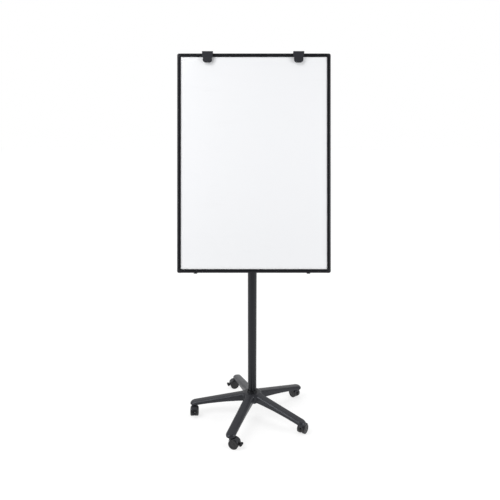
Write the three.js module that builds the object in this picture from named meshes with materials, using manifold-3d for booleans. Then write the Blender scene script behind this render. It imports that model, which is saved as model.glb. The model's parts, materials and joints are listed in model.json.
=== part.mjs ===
// A mobile flipchart easel: five-armed castor base, telescopic column, tilting board with pad clips.
// Millimetres. +X is the reader's right, +Y goes back, +Z is up; the origin is on the floor, on the
// column's axis.
import * as THREE from "three";
import { mergeVertices } from "three/addons/utils/BufferGeometryUtils.js";
import Module from "manifold-3d";

const wasm = await Module();
wasm.setup();

// ---------------------------------------------------------------------------- driving dimensions
const GAP = 0.3; // clearance between neighbouring pieces
const DEGREE = Math.PI / 180;
const ROUND = 32; // sides of a large round piece
const SMALL_ROUND = 16; // sides of a small one

// middleX, frontY and frontZ are the middle of the frame's front face; the board hangs a little to the
// reader's right of the column.
const BOARD = { width: 700, height: 1000, tilt: 13.34, middleX: 6.8, frontY: -90, frontZ: 1321 };
const FRAME = { face: 17, depth: 13.2, lip: 2, slotFloor: 6, cornerProud: 0.5, cornerRadius: 9 };
const SHEET = 0.6; // thickness of the steel writing sheet
const CORE = 6.9;
const BACKING = 0.5;

const CLIP = {
  places: { left: -211, right: 203 },
  width: 49.4,
  above: 5.9,
  height: 51,
  shoulder: 25,
  bodyWidth: 42.4,
  tipWidth: 42,
  tipRadius: 13,
  leaf: 4.2,
  padGap: 4.8,
  backGap: 3.3,
  backLeg: 4,
};
const SCREW = { radius: 3, head: 9, below: 9 };
const EDGE_PAD = { places: { left: -266, right: 248 }, width: 18, drop: 4.1, depth: 9, stud: 2.5 };

const KNOB_RADIUS = 23;
const PIVOT_Z = 1360; // height of the tilt pivot, on the column's axis
const OUTER_TUBE = { radius: 22.25, wall: 1.5, bottom: 84.3, top: 1040 };
const INNER_TUBE = { radius: 19, wall: 1.5, bottom: 740, top: 1318, keyWidth: 8.8, keyDepth: 1 };

const BASE = {
  stemCircle: 304,
  firstArm: 178.4,
  hubRadius: 44,
  hubTop: 132,
  hubBottom: 75,
  floor: 84,
  skin: 7,
  boltHole: 5.8,
  boltShank: 5,
};
const STEM = {
  radius: 5.5,
  hole: 5.8,
  bottom: 46.3,
  top: 70,
  flange: 8.8,
  flangeBottom: 55.9,
  flangeTop: 56.4,
};
// Each castor's letter, the heading of its trailing side from +X towards +Y, and whether it has a brake.
const CASTORS = [
  { letter: "a", heading: -88.9, brake: true },
  { letter: "b", heading: -23.5, brake: true },
  { letter: "c", heading: 58.4, brake: false },
  { letter: "d", heading: 127.3, brake: false },
  { letter: "e", heading: 198, brake: true },
];
const WHEEL = { radius: 25, width: 16.6, sides: 20, inner: 4.2 };
const TRAIL = 19; // from the swivel's axis to the axle
// The hood's cover and web run round the axle between two angles, in degrees.
const HOOD = {
  cover: 1.4,
  thickness: 2.6,
  width: 42,
  from: 32,
  to: 152,
  web: 7.2,
  webFrom: 46,
  hub: 7,
  top: 55.6,
  neck: 9.5,
};

// ---------------------------------------------------------------------------------- materials
const plastic = (color, roughness) => new THREE.MeshStandardMaterial({ color, roughness, metalness: 0 });
const metal = (color, roughness) => new THREE.MeshStandardMaterial({ color, roughness, metalness: 0.9 });
const materials = {
  baseNylon: plastic(0x36373b, 0.55),
  blackPaint: plastic(0x1e1f22, 0.35),
  framePaint: plastic(0x1c1c20, 0.4),
  cornerPlastic: plastic(0x2a2a2d, 0.6),
  clipPlastic: plastic(0x3a3a3e, 0.65),
  castorPlastic: plastic(0x2c2d31, 0.5),
  blackPlastic: plastic(0x1b1b1d, 0.5),
  whiteEnamel: plastic(0xf3f4f7, 0.15),
  coreBoard: plastic(0xb9a68a, 0.85),
  zincSteel: metal(0xb8bcc2, 0.45),
  steel: metal(0x9da1a6, 0.35),
};

// ------------------------------------------------------------------------------ solid helpers
// A manifold-3d solid from a closed geometry; a solid comes back as it is.
function solidFrom(geometry) {
  if (!geometry.isBufferGeometry) return geometry;
  const bare = geometry.index ? geometry.toNonIndexed() : geometry.clone();
  bare.deleteAttribute("normal");
  bare.deleteAttribute("uv");
  const merged = mergeVertices(bare, 1e-4);
  return new wasm.Manifold(
    new wasm.Mesh({
      numProp: 3,
      vertProperties: merged.attributes.position.array,
      triVerts: new Uint32Array(merged.index.array),
    }),
  );
}

function geometryFrom(solid) {
  const mesh = solid.getMesh();
  const indexed = new THREE.BufferGeometry();
  indexed.setAttribute("position", new THREE.BufferAttribute(mesh.vertProperties, 3));
  indexed.setIndex(new THREE.BufferAttribute(mesh.triVerts, 1));
  const faceted = indexed.toNonIndexed();
  faceted.computeVertexNormals();
  return faceted;
}

// Turns a closed outline of [radius, height] points, listed anticlockwise, about the Z axis.
function turned(points, sides = ROUND, facetDown = false) {
  const outline = [...points, points[0]].map(([radius, height]) => new THREE.Vector2(radius, height));
  const geometry = new THREE.LatheGeometry(outline, sides, facetDown ? Math.PI / sides : 0);
  return geometry.rotateX(Math.PI / 2);
}

const ring = (inner, outer, bottom, top, sides = ROUND) =>
  turned([[inner, bottom], [outer, bottom], [outer, top], [inner, top]], sides);

const rod = (radius, bottom, top, sides = SMALL_ROUND) =>
  new THREE.CylinderGeometry(radius, radius, top - bottom, sides)
    .rotateX(Math.PI / 2)
    .translate(0, 0, (top + bottom) / 2);

// A box given by its lowest and highest corners.
const block = (low, high) =>
  new THREE.BoxGeometry(high[0] - low[0], high[1] - low[1], high[2] - low[2]).translate(
    (low[0] + high[0]) / 2,
    (low[1] + high[1]) / 2,
    (low[2] + high[2]) / 2,
  );

const flatShape = (points) => new THREE.Shape(points.map(([x, y]) => new THREE.Vector2(x, y)));

// Extrudes a shape drawn in the XZ plane along +Y, from y0 to y1.
const alongY = (shape, y0, y1, curveSegments = 6) =>
  new THREE.ExtrudeGeometry(shape, { depth: y1 - y0, bevelEnabled: false, curveSegments })
    .rotateX(Math.PI / 2)
    .translate(0, y1, 0);

// Extrudes a shape drawn in the YZ plane along +X, from x0 to x1.
const alongX = (shape, x0, x1, curveSegments = 6) =>
  new THREE.ExtrudeGeometry(shape, { depth: x1 - x0, bevelEnabled: false, curveSegments })
    .rotateY(Math.PI / 2)
    .rotateX(Math.PI / 2)
    .translate(x0, 0, 0);

const joined = (...geometries) => geometries.map(solidFrom).reduce((sum, next) => sum.add(next));
const cut = (solid, ...geometries) =>
  geometries.map(solidFrom).reduce((rest, next) => rest.subtract(next), solid);

function piece(parent, name, shape, material) {
  const mesh = new THREE.Mesh(shape.isBufferGeometry ? shape : geometryFrom(shape), material);
  mesh.name = name;
  parent.add(mesh);
  return mesh;
}

// Joins the corresponding corners of closed sections into one closed body. Each section is a list of
// [x, y, z] points, anticlockwise as seen from the last section.
function loft(sections) {
  const sides = sections[0].length;
  const positions = sections.flat(2);
  const index = [];
  for (let s = 0; s < sections.length - 1; s++)
    for (let i = 0; i < sides; i++) {
      const here = s * sides + i;
      const next = s * sides + ((i + 1) % sides);
      index.push(here, next, next + sides, here, next + sides, here + sides);
    }
  const last = (sections.length - 1) * sides;
  for (let i = 1; i < sides - 1; i++) index.push(0, i + 1, i, last, last + i, last + i + 1);
  const geometry = new THREE.BufferGeometry();
  geometry.setAttribute("position", new THREE.Float32BufferAttribute(positions, 3));
  geometry.setIndex(index);
  return geometry;
}

// A hand knob about the Z axis: a boss, then a disc with rounded lobes.
function lobedKnob(radius, bottom, discBottom, top, lobes = 6) {
  const outline = new THREE.Shape();
  const steps = lobes * 6;
  for (let i = 0; i < steps; i++) {
    const angle = (i / steps) * 2 * Math.PI;
    const reach = radius * (0.9 + 0.1 * Math.cos(lobes * angle));
    const place = new THREE.Vector2(reach * Math.cos(angle), reach * Math.sin(angle));
    if (i) outline.lineTo(place.x, place.y);
    else outline.moveTo(place.x, place.y);
  }
  outline.closePath();
  const disc = new THREE.ExtrudeGeometry(outline, { depth: top - discBottom, bevelEnabled: false });
  const boss = rod(radius * 0.45, bottom, discBottom + 1, SMALL_ROUND);
  return joined(boss, disc.translate(0, 0, discBottom));
}

// ---------------------------------------------------------------------------------- star base
const ARM = {
  half: 23,
  flatHalf: 15.5,
  footHalf: 21.5,
  shoulder: 7,
  start: 10,
  rootRadius: 36,
  rootTop: 131,
  tipTop: 74.4,
  lowest: 56.8,
  stations: [36, 110, 160, 210, 260],
};
// The hollows under an arm, as spans of the distance from the column's axis; ribs are left between them.
const POCKETS = { spans: [[62, 128], [133, 199], [204, 276]], half: 15.5, draft: 2 };

// Heights of an arm's upper and lower faces at a distance r from the column's axis.
const armTop = (r) => {
  const { rootRadius, rootTop, tipTop } = ARM;
  const slope = (rootTop - tipTop) / (BASE.stemCircle - rootRadius);
  return Math.min(rootTop, rootTop - slope * (r - rootRadius));
};
const armBottom = (r) => {
  const out = r - BASE.hubRadius;
  return Math.max(ARM.lowest, 89 - 0.042 * out - 0.000315 * out ** 2);
};

function armSection(r) {
  const top = armTop(r);
  const bottom = armBottom(r);
  const profile = [
    [-ARM.footHalf, bottom],
    [ARM.footHalf, bottom],
    [ARM.half, Math.max(top - ARM.shoulder, bottom + 2)],
    [ARM.flatHalf, top],
    [-ARM.flatHalf, top],
    [-ARM.half, Math.max(top - ARM.shoulder, bottom + 2)],
  ];
  return profile.map(([across, height]) => [r, across, height]);
}

function arm() {
  const reach = BASE.stemCircle + ARM.half;
  const stations = [ARM.start, ...ARM.stations, BASE.stemCircle, reach + 1];
  const bar = solidFrom(loft(stations.map((r) => armSection(r))));
  const plan = new THREE.Shape();
  plan.moveTo(0, -ARM.half);
  plan.lineTo(BASE.stemCircle, -ARM.half);
  plan.absarc(BASE.stemCircle, 0, ARM.half, -Math.PI / 2, Math.PI / 2, false);
  plan.lineTo(0, ARM.half);
  const settings = { depth: BASE.hubTop + 10, bevelEnabled: false, curveSegments: 10 };
  const outline = new THREE.ExtrudeGeometry(plan, settings);
  return bar.intersect(solidFrom(outline));
}

function armPockets() {
  const { spans, half, draft } = POCKETS;
  return spans.map((span) =>
    loft(
      span.map((r) => {
        const roof = armTop(r) - BASE.skin;
        return [[r, -half, 0], [r, half, 0], [r, half - draft, roof], [r, draft - half, roof]];
      }),
    ),
  );
}

function starBase() {
  const hub = turned([
    [0, BASE.hubBottom],
    [27, BASE.hubBottom],
    [32, 84],
    [BASE.hubRadius - 4, 88],
    [BASE.hubRadius, 94],
    [BASE.hubRadius, 112],
    [39, 126],
    [31, BASE.hubTop],
    [0, BASE.hubTop],
  ]);
  let solid = solidFrom(hub);
  const oneArm = arm();
  CASTORS.forEach((_, i) => {
    solid = solid.add(oneArm.rotate([0, 0, BASE.firstArm + 72 * i]));
  });
  solid = cut(
    solid,
    rod(OUTER_TUBE.radius + GAP, BASE.floor, BASE.hubTop + 10, ROUND),
    rod(BASE.boltHole, BASE.hubBottom - 5, BASE.floor + 5),
  );
  CASTORS.forEach((_, i) => {
    const turn = (BASE.firstArm + 72 * i) * DEGREE;
    const socket = rod(STEM.hole, 0, STEM.top + GAP, 12).translate(BASE.stemCircle, 0, 0);
    solid = cut(solid, ...[socket, ...armPockets()].map((hollow) => hollow.rotateZ(turn)));
  });
  return solid;
}

// ------------------------------------------------------------------------------------- castors
// In a castor's own frame the swivel axis is Z, and the axle lies at +X, the trailing side.
function castorStem() {
  const { radius, bottom, top, flange, flangeBottom, flangeTop } = STEM;
  const outline = [
    [0, bottom],
    [radius, bottom],
    [radius, flangeBottom],
    [flange, flangeBottom],
    [flange, flangeTop],
    [radius, flangeTop],
    [radius, top],
    [0, top],
  ];
  return turned(outline, 12);
}

const LEVER = { pivotX: TRAIL + 16.5, pivotZ: WHEEL.radius + 7.5, trunnion: 1.8, arm: 2.6 };

function castorHood(brake) {
  const axle = new THREE.Vector2(TRAIL, WHEEL.radius);
  const inner = WHEEL.radius + HOOD.cover;
  const outer = inner + HOOD.thickness;
  const [from, to] = [HOOD.from * DEGREE, HOOD.to * DEGREE];
  const cover = new THREE.Shape();
  cover.absarc(axle.x, axle.y, outer, from, to, false);
  cover.absarc(axle.x, axle.y, inner, to, from, true);
  const web = new THREE.Shape();
  web.absarc(axle.x, axle.y, outer - 1, HOOD.webFrom * DEGREE, to, false);
  web.absarc(axle.x, axle.y, HOOD.hub, 200 * DEGREE, 330 * DEGREE, false);
  if (brake) web.lineTo(LEVER.pivotX + 4, LEVER.pivotZ - 5);
  const upright = (shape, width) => alongY(shape, -width / 2, width / 2, 7);
  const neck = rod(HOOD.neck, WHEEL.radius + 17, HOOD.top);
  const wheelRoom = rod(inner, -HOOD.width, HOOD.width, ROUND)
    .rotateX(Math.PI / 2)
    .translate(axle.x, 0, axle.y);
  const shell = joined(upright(cover, HOOD.width), cut(solidFrom(neck), wheelRoom));
  const solid = cut(
    shell.add(solidFrom(upright(web, HOOD.web))),
    rod(STEM.hole, STEM.bottom - GAP, HOOD.top + 5, 12),
    rod(3.3, -HOOD.web, HOOD.web, 12).rotateX(Math.PI / 2).translate(axle.x, 0, axle.y),
  );
  if (!brake) return solid;
  const halfSlot = LEVER.arm / 2 + GAP;
  const slot = block([TRAIL + 9, -halfSlot, 18], [TRAIL + 60, halfSlot, WHEEL.radius + 14]);
  const bearing = rod(LEVER.trunnion + GAP, -HOOD.web, HOOD.web, 12)
    .rotateX(Math.PI / 2)
    .translate(LEVER.pivotX, 0, LEVER.pivotZ);
  return cut(solid, slot, bearing);
}

function castorLever() {
  const pad = {
    near: TRAIL + 29,
    far: TRAIL + 41.5,
    low: WHEEL.radius - 6,
    high: WHEEL.radius + 9,
    width: 22,
  };
  const side = flatShape([
    [LEVER.pivotX - 3.5, LEVER.pivotZ - 4],
    [LEVER.pivotX + 2, LEVER.pivotZ - 5.5],
    [pad.near + 1, pad.low + 4],
    [pad.near + 1, pad.high - 3],
    [LEVER.pivotX + 1, LEVER.pivotZ + 3.5],
    [LEVER.pivotX - 3.5, LEVER.pivotZ + 2.5],
  ]);
  const tread = flatShape([
    [pad.near, pad.low],
    [pad.far - 5, pad.low],
    [pad.far, pad.low + 5],
    [pad.far, pad.high - 3],
    [pad.far - 3, pad.high],
    [pad.near, pad.high - 2],
  ]);
  const trunnion = rod(LEVER.trunnion, -HOOD.web / 2 + 0.4, HOOD.web / 2 - 0.4, 12).rotateX(Math.PI / 2);
  return joined(
    alongY(side, -LEVER.arm / 2, LEVER.arm / 2),
    alongY(tread, -pad.width / 2, pad.width / 2),
    trunnion.translate(LEVER.pivotX, 0, LEVER.pivotZ),
  );
}

// A wheel about the Z axis, from z = 0 (towards the hood's web) outwards. One of its facets faces down.
function castorWheel() {
  const rim = WHEEL.radius / Math.cos(Math.PI / WHEEL.sides);
  const outline = [
    [3.4, 0],
    [rim - 1.5, 0],
    [rim, 1.5],
    [rim, WHEEL.width - 3],
    [rim - 3, WHEEL.width],
    [3.4, WHEEL.width],
  ];
  return turned(outline, WHEEL.sides, true);
}

function castor({ letter, heading, brake }, place) {
  const group = new THREE.Group();
  group.position.set(place.x, place.y, 0);
  group.rotation.z = heading * DEGREE;
  const name = "castor_" + letter;
  piece(group, name + "_stem", castorStem(), materials.steel);
  piece(group, name + "_hood", castorHood(brake), materials.castorPlastic);
  const reach = WHEEL.inner + WHEEL.width - 2;
  const axle = rod(3, -reach, reach, 12).rotateX(Math.PI / 2);
  piece(group, name + "_axle", axle.translate(TRAIL, 0, WHEEL.radius), materials.steel);
  for (const [side, sign] of [["left", 1], ["right", -1]]) {
    const wheel = castorWheel().translate(0, 0, WHEEL.inner).rotateX((-sign * Math.PI) / 2);
    wheel.translate(TRAIL, 0, WHEEL.radius);
    piece(group, `${name}_wheel_${side}`, wheel, materials.castorPlastic);
  }
  if (brake) piece(group, name + "_lever", castorLever(), materials.castorPlastic);
  return group;
}

// ----------------------------------------------------------------------------- column and mast
function columnPieces(group) {
  const { radius, wall, bottom, top } = OUTER_TUBE;
  const inside = radius - wall;
  const collarFoot = BASE.hubTop + GAP;
  const collar = turned([
    [radius + GAP, collarFoot],
    [27.5, collarFoot],
    [27.5, collarFoot + 3],
    [24.6, collarFoot + 10],
    [radius + GAP, collarFoot + 10],
  ]);
  piece(group, "column_collar", collar, materials.blackPlastic);
  piece(group, "column_tube", ring(inside, radius, bottom, top), materials.blackPaint);
  piece(group, "column_plug", ring(5.3, inside - GAP, bottom, bottom + 24, 20), materials.steel);
  const head = rod(9.5, BASE.hubBottom - 9.5, BASE.hubBottom - 2.2, 6);
  const flange = rod(14, BASE.hubBottom - 2.7, BASE.hubBottom - GAP);
  const shank = rod(BASE.boltShank, BASE.hubBottom - 1, bottom + 20);
  piece(group, "base_bolt", joined(head, flange, shank), materials.steel);
}

const CLAMP = { outer: 29, foot: 998, top: 1078, knobZ: 1060, bossReach: 42, studRadius: 4 };

function clampPieces(group) {
  const { outer, foot, top, knobZ, bossReach, studRadius } = CLAMP;
  const bushTop = OUTER_TUBE.top + 3.3;
  const body = turned([
    [OUTER_TUBE.radius + GAP, foot],
    [outer - 2, foot],
    [outer, foot + 2],
    [outer, top - 5],
    [outer - 5, top],
    [INNER_TUBE.radius + GAP, top],
    [INNER_TUBE.radius + GAP, bushTop + GAP],
    [OUTER_TUBE.radius + GAP, bushTop + GAP],
  ]);
  const boss = rod(13, 21, bossReach).rotateX(-Math.PI / 2).translate(0, 0, knobZ);
  const thread = rod(studRadius + GAP, 10, bossReach + 5).rotateX(-Math.PI / 2).translate(0, 0, knobZ);
  const clamp = cut(joined(body, boss), rod(INNER_TUBE.radius + GAP, foot - 5, top + 5, ROUND), thread);
  piece(group, "height_clamp", clamp, materials.blackPlastic);

  const sleeve = OUTER_TUBE.radius - OUTER_TUBE.wall - GAP;
  const bush = turned([
    [INNER_TUBE.radius + GAP, OUTER_TUBE.top - 40],
    [sleeve, OUTER_TUBE.top - 40],
    [sleeve, OUTER_TUBE.top + GAP],
    [OUTER_TUBE.radius, OUTER_TUBE.top + GAP],
    [OUTER_TUBE.radius, bushTop],
    [INNER_TUBE.radius + GAP, bushTop],
  ]);
  piece(group, "tube_bush", bush, materials.blackPlastic);

  const tip = INNER_TUBE.radius - INNER_TUBE.keyDepth + GAP;
  const knob = lobedKnob(KNOB_RADIUS, bossReach + 0.5, bossReach + 6, bossReach + 24);
  const withStud = knob.add(solidFrom(rod(studRadius, tip, bossReach + 2)));
  const mesh = piece(group, "clamp_knob", withStud, materials.blackPlastic);
  mesh.rotation.x = -Math.PI / 2;
  mesh.position.z = knobZ;
}

// The section of the inner tube, with the key groove at the back.
function keyedTubeShape() {
  const { radius, wall, keyWidth, keyDepth } = INNER_TUBE;
  const half = Math.asin(keyWidth / 2 / radius);
  const shape = new THREE.Shape();
  shape.absarc(0, 0, radius, Math.PI / 2 + half, Math.PI / 2 - half + 2 * Math.PI, false);
  shape.lineTo(keyWidth / 2, radius - keyDepth);
  shape.lineTo(-keyWidth / 2, radius - keyDepth);
  const bore = new THREE.Path();
  bore.absarc(0, 0, radius - wall - keyDepth * 0.4, 0, 2 * Math.PI, true);
  shape.holes.push(bore);
  return shape;
}

function mastPieces(group) {
  const { radius, wall, bottom, top, keyDepth } = INNER_TUBE;
  const inside = radius - wall - keyDepth * 0.4;
  const tube = new THREE.ExtrudeGeometry(keyedTubeShape(), {
    depth: top - bottom,
    bevelEnabled: false,
    curveSegments: 15,
  });
  piece(group, "inner_tube", tube.translate(0, 0, bottom), materials.steel);
  const guide = OUTER_TUBE.radius - OUTER_TUBE.wall - GAP;
  const glide = turned([
    [10, bottom - 12],
    [guide, bottom - 12],
    [guide, bottom - GAP],
    [inside - GAP, bottom - GAP],
    [inside - GAP, bottom + 20],
    [10, bottom + 20],
  ]);
  piece(group, "mast_glide", glide, materials.blackPlastic);

  const socket = turned([
    [0, top + GAP],
    [radius + GAP, top + GAP],
    [radius + GAP, top - 28],
    [radius + 4, top - 28],
    [radius + 4, top + 14],
    [radius + 1, top + 17],
    [0, top + 17],
  ]);
  const tongue = new THREE.Shape();
  tongue.moveTo(-TONGUE.half, top + 12);
  tongue.lineTo(TONGUE.half, top + 12);
  tongue.lineTo(TONGUE.half, PIVOT_Z);
  tongue.absarc(0, PIVOT_Z, TONGUE.half, 0, Math.PI, false);
  const head = joined(socket, alongX(tongue, -TONGUE.width / 2, TONGUE.width / 2, 8));
  const hole = rod(TONGUE.bolt + GAP, -40, 40).rotateY(Math.PI / 2).translate(0, 0, PIVOT_Z);
  piece(group, "tilt_head", cut(head, hole), materials.blackPaint);
}

// --------------------------------------------------------------------------------- tilt hinge
const TONGUE = { half: 15, width: 24, bolt: 4 };
const EAR = { inner: TONGUE.width / 2 + GAP, thickness: 4 };
const EAR_OUTER = EAR.inner + EAR.thickness;

function tiltFasteners(group) {
  const head = rod(7.5, -EAR_OUTER - GAP - 5.5, -EAR_OUTER - GAP, 6);
  const shank = rod(TONGUE.bolt, -EAR_OUTER - 1, EAR_OUTER + 12);
  const bolt = piece(group, "tilt_bolt", joined(head, shank), materials.steel);
  const base = EAR_OUTER + GAP;
  const bore = rod(TONGUE.bolt + GAP, base - 5, base + 13);
  const disc = lobedKnob(KNOB_RADIUS, base, base + 6, base + 24);
  const knob = piece(group, "tilt_knob", cut(disc, bore), materials.blackPlastic);
  for (const mesh of [bolt, knob]) {
    mesh.rotation.y = Math.PI / 2;
    mesh.position.z = PIVOT_Z;
  }
}

// -------------------------------------------------------------------------------------- board
// In the board's frame the origin is the middle of the front face, +Y goes into the board and +Z
// points up along it.
const CROSS_RAIL = { half: 345, height: 60, depth: 14, wall: 2 };

// Where the tilt pivot lies in the board's frame, as y and z.
function pivotInBoard() {
  const tilt = BOARD.tilt * DEGREE;
  const back = -BOARD.frontY;
  const up = PIVOT_Z - BOARD.frontZ;
  return {
    y: back * Math.cos(tilt) - up * Math.sin(tilt),
    z: back * Math.sin(tilt) + up * Math.cos(tilt),
  };
}

function panelPieces(group) {
  const halfWidth = BOARD.width / 2 - FRAME.cornerProud - FRAME.slotFloor - GAP;
  const halfHeight = BOARD.height / 2 - FRAME.cornerProud - FRAME.slotFloor - GAP;
  let depth = FRAME.lip + GAP;
  const layers = [
    ["writing_sheet", SHEET, materials.whiteEnamel],
    ["board_core", CORE, materials.coreBoard],
    ["back_sheet", BACKING, materials.zincSteel],
  ];
  for (const [name, thickness, material] of layers) {
    const slab = block([-halfWidth, depth, -halfHeight], [halfWidth, depth + thickness, halfHeight]);
    piece(group, name, slab, material);
    depth += thickness + GAP;
  }
}

// A rail's section: u runs inwards from the outer edge, v backwards from the front face.
function railShape() {
  const { face, depth, lip, slotFloor } = FRAME;
  const soft = 1.6;
  return flatShape([
    [soft, 0],
    [face - 0.6, 0],
    [face, 0.6],
    [face, lip],
    [slotFloor, lip],
    [slotFloor, depth - lip],
    [face, depth - lip],
    [face, depth],
    [soft, depth],
    [0, depth - soft],
    [0, soft],
  ]);
}

function framePieces(group) {
  const { face, depth, lip, slotFloor, cornerProud, cornerRadius } = FRAME;
  const [halfX, halfZ] = [BOARD.width / 2, BOARD.height / 2];
  const cornerSize = face + cornerProud + 1;
  const sides = [
    { name: "bottom", half: halfX - cornerSize - GAP, reach: halfZ - cornerProud, turn: 0 },
    { name: "right", half: halfZ - cornerSize - GAP, reach: halfX - cornerProud, turn: -90 },
    { name: "top", half: halfX - cornerSize - GAP, reach: halfZ - cornerProud, turn: 180 },
    { name: "left", half: halfZ - cornerSize - GAP, reach: halfX - cornerProud, turn: 90 },
  ];
  for (const { name, half, reach, turn } of sides) {
    // Drawn as the bottom rail: u becomes +Z and v becomes +Y, then turned about the board's normal.
    const bar = new THREE.ExtrudeGeometry(railShape(), { depth: 2 * half, bevelEnabled: false });
    const basis = new THREE.Matrix4().makeBasis(
      new THREE.Vector3(0, 0, 1),
      new THREE.Vector3(0, 1, 0),
      new THREE.Vector3(-1, 0, 0),
    );
    let rail = solidFrom(bar.applyMatrix4(basis).translate(half, 0, -reach));
    if (name === "bottom")
      for (const x of Object.values(EDGE_PAD.places)) {
        const hole = rod(EDGE_PAD.stud + GAP, -reach - 1, -reach + 4.6, 12);
        rail = cut(rail, hole.translate(x, depth / 2, 0));
      }
    piece(group, "frame_rail_" + name, rail, materials.framePaint).rotation.y = turn * DEGREE;
  }

  const outline = new THREE.Shape();
  outline.moveTo(cornerRadius, 0);
  outline.lineTo(cornerSize, 0);
  outline.lineTo(cornerSize, cornerSize);
  outline.lineTo(0, cornerSize);
  outline.lineTo(0, cornerRadius);
  outline.absarc(cornerRadius, cornerRadius, cornerRadius, Math.PI, 1.5 * Math.PI, false);
  const slot = slotFloor + cornerProud;
  const corners = { bl: [1, 1], br: [-1, 1], tr: [-1, -1], tl: [1, -1] };
  for (const [name, [signX, signZ]] of Object.entries(corners)) {
    const body = alongY(outline, -0.4, depth + 0.4, 6);
    const pocket = block([slot, lip, slot], [cornerSize + 1, depth - lip, cornerSize + 1]);
    const corner = cut(solidFrom(body), pocket).scale([signX, 1, signZ]);
    const mesh = piece(group, "frame_corner_" + name, corner, materials.cornerPlastic);
    mesh.position.set(-signX * halfX, 0, -signZ * halfZ);
  }
}

function clipPieces(group, side, x) {
  const railTop = BOARD.height / 2 - FRAME.cornerProud;
  const { width, above, height, shoulder, bodyWidth, tipWidth, tipRadius, leaf } = CLIP;
  const top = railTop + above;
  const bottom = top - height;
  const leaf1 = -CLIP.padGap;
  const leaf0 = leaf1 - leaf;
  const legFront = FRAME.depth + CLIP.backGap;
  const legBack = legFront + CLIP.backLeg;
  const front = new THREE.Shape();
  front.moveTo(-width / 2, top);
  front.lineTo(-width / 2, top - shoulder + 2);
  front.lineTo(-bodyWidth / 2, top - shoulder);
  front.lineTo(-tipWidth / 2, bottom + tipRadius);
  const tipMiddle = tipWidth / 2 - tipRadius;
  front.absarc(-tipMiddle, bottom + tipRadius, tipRadius, Math.PI, 1.5 * Math.PI, false);
  front.absarc(tipMiddle, bottom + tipRadius, tipRadius, 1.5 * Math.PI, 2 * Math.PI, false);
  front.lineTo(bodyWidth / 2, top - shoulder);
  front.lineTo(width / 2, top - shoulder + 2);
  front.lineTo(width / 2, top);
  const screwZ = railTop - SCREW.below;
  const body = joined(
    alongY(front, leaf0, leaf1, 5),
    block([-width / 2, leaf0, railTop + GAP], [width / 2, legBack, top]),
    block([-14, legFront, screwZ - 10], [14, legBack, top]),
  );
  const hole = rod(SCREW.radius + GAP, FRAME.depth, legBack + 5)
    .rotateX(-Math.PI / 2)
    .translate(0, 0, screwZ);
  const clip = piece(group, "clip_" + side, cut(body, hole), materials.clipPlastic);
  const shank = rod(SCREW.radius, FRAME.depth + GAP, legBack + 2);
  const screwShape = joined(shank, lobedKnob(SCREW.head, legBack + 1, legBack + 2.5, legBack + 9));
  const screw = piece(group, "clip_screw_" + side, screwShape, materials.blackPlastic);
  screw.rotation.x = -Math.PI / 2;
  screw.position.z = screwZ;
  for (const mesh of [clip, screw]) mesh.position.x = x;
}

function edgePad(group, side, x) {
  const { width, drop, depth } = EDGE_PAD;
  const railBottom = -BOARD.height / 2 + FRAME.cornerProud;
  const outline = new THREE.Shape();
  outline.moveTo(-width / 2, railBottom - GAP);
  outline.quadraticCurveTo(-width / 2 + 1, railBottom - drop, -width / 4, railBottom - drop);
  outline.lineTo(width / 4, railBottom - drop);
  outline.quadraticCurveTo(width / 2 - 1, railBottom - drop, width / 2, railBottom - GAP);
  const middle = FRAME.depth / 2;
  const pad = joined(
    alongY(outline, middle - depth / 2, middle + depth / 2, 4),
    rod(EDGE_PAD.stud, railBottom - 1, railBottom + 4, 12).translate(0, middle, 0),
  );
  piece(group, "edge_pad_" + side, pad, materials.cornerPlastic).position.x = x;
}

function hingePieces(group) {
  const pivot = pivotInBoard();
  const { half, height, depth, wall } = CROSS_RAIL;
  const front = FRAME.depth + 0.4 + GAP;
  const back = front + depth;
  const channel = flatShape([
    [front, -height / 2],
    [back, -height / 2],
    [back, height / 2],
    [front, height / 2],
    [front, height / 2 - wall],
    [back - wall, height / 2 - wall],
    [back - wall, -height / 2 + wall],
    [front, -height / 2 + wall],
  ]);
  piece(group, "cross_rail", alongX(channel, -half, half), materials.framePaint).position.z = pivot.z;

  const plateFront = back + GAP;
  const plate = block([-50, plateFront, -28], [50, plateFront + 3, 28]);
  const ear = new THREE.Shape();
  ear.moveTo(plateFront + 1, -24);
  ear.absarc(pivot.y, 0, TONGUE.half, -Math.PI / 2, Math.PI / 2, false);
  ear.lineTo(plateFront + 1, 24);
  const ears = [-EAR_OUTER, EAR.inner].map((x) => alongX(ear, x, x + EAR.thickness, 8));
  const hole = rod(TONGUE.bolt + GAP, -40, 40).rotateY(Math.PI / 2).translate(0, pivot.y, 0);
  const bracket = cut(joined(plate, ...ears), hole);
  const mesh = piece(group, "tilt_bracket", bracket, materials.blackPaint);
  mesh.position.set(-BOARD.middleX, 0, pivot.z);
}

function board() {
  const group = new THREE.Group();
  group.position.set(BOARD.middleX, BOARD.frontY, BOARD.frontZ);
  group.rotation.x = -BOARD.tilt * DEGREE;
  panelPieces(group);
  framePieces(group);
  hingePieces(group);
  for (const [side, x] of Object.entries(CLIP.places)) clipPieces(group, side, x);
  for (const [side, x] of Object.entries(EDGE_PAD.places)) edgePad(group, side, x);
  return group;
}

// ---------------------------------------------------------------------------------- assembly
const easel = new THREE.Group();
piece(easel, "star_base", starBase(), materials.baseNylon);
CASTORS.forEach((spec, i) => {
  const angle = (BASE.firstArm + 72 * i) * DEGREE;
  const place = { x: BASE.stemCircle * Math.cos(angle), y: BASE.stemCircle * Math.sin(angle) };
  easel.add(castor(spec, place));
});
columnPieces(easel);
clampPieces(easel);
mastPieces(easel);
tiltFasteners(easel);
easel.add(board());

export default easel;
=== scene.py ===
"""A mobile flipchart easel: the looks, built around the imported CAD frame.

Everything is placed from the frame's own joints and boxes. Shapes are drawn in millimetres in a local
frame of their own and carried to their place, in metres, by a matrix.
"""

import json
import math

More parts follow.
